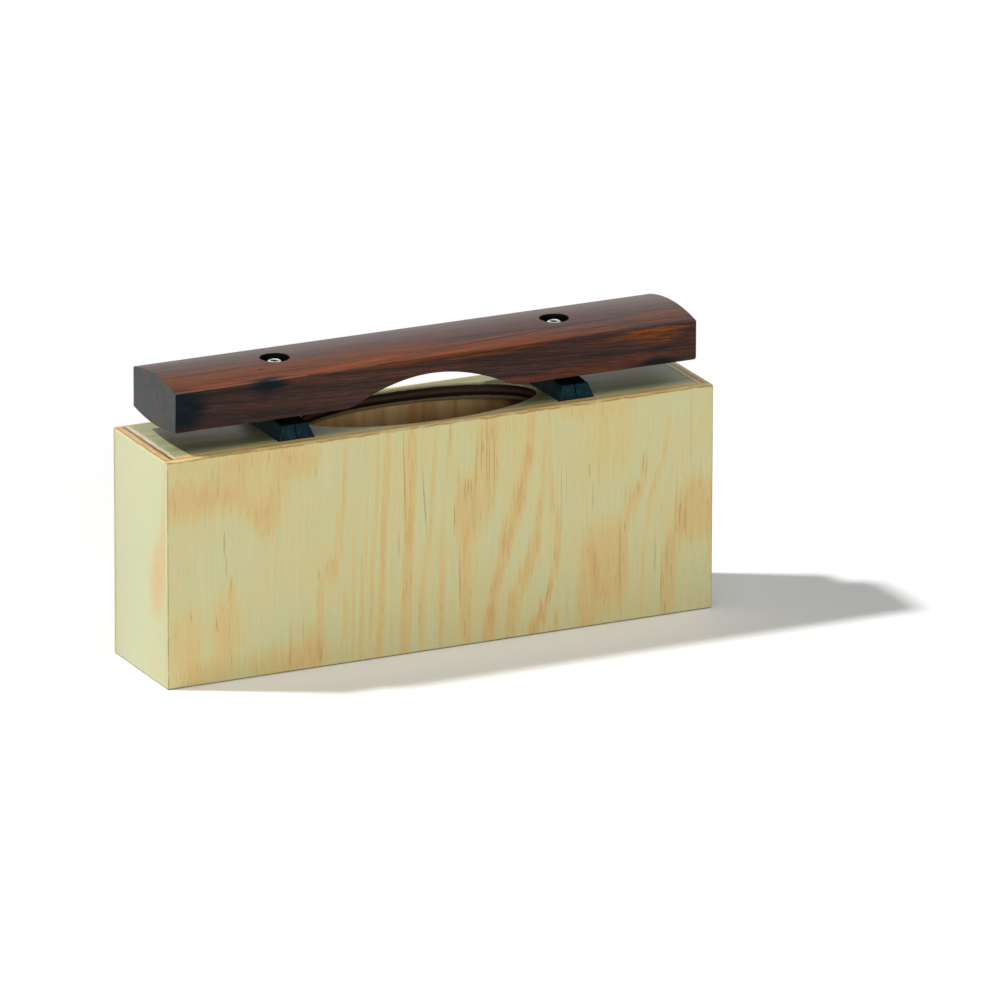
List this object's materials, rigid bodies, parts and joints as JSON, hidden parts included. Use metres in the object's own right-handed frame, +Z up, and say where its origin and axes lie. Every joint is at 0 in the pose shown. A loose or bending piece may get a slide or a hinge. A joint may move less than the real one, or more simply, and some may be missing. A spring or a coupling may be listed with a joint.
{
  "type": "chime bar",
  "caption": "Single tuned rosewood bar held loosely on rubber supports over a plywood resonance box with an oval sound hole.",
  "frame": {"origin": "middle of the box's underside, on the surface that the chime bar stands on", "axes": "+X along the box to the right of the player, +Y to the box's back, +Z up"},
  "size_m": [0.24, 0.0516, 0.1226],
  "materials": {
    "plywood_panel": "clear satin lacquer on pale pine plywood",
    "plywood_board": "clear satin lacquer on pale plywood",
    "block_wood": "sawn, unfinished",
    "rosewood": "oiled, satin",
    "black_rubber": "moulded, matt",
    "screw_steel": "zinc plated, bright"
  },
  "bodies": {
    "box": {"front_panel": "plywood_panel", "back_panel": "plywood_panel", "left_end_panel": "plywood_panel", "right_end_panel": "plywood_panel", "bottom_panel": "plywood_panel", "top_board": "plywood_board", "left_screw_block": "block_wood", "right_screw_block": "block_wood", "left_bar_support": "black_rubber", "right_bar_support": "black_rubber", "left_bar_bush": "black_rubber", "right_bar_bush": "black_rubber", "left_bar_screw": "screw_steel", "right_bar_screw": "screw_steel"},
    "bar": {"tone_bar": "rosewood"}
  },
  "joints": [
    {"name": "bar_lift", "type": "slide", "parent": "box", "child": "bar", "axis": [0, 0, 1], "range_m": [0, 0.001]}
  ]
}
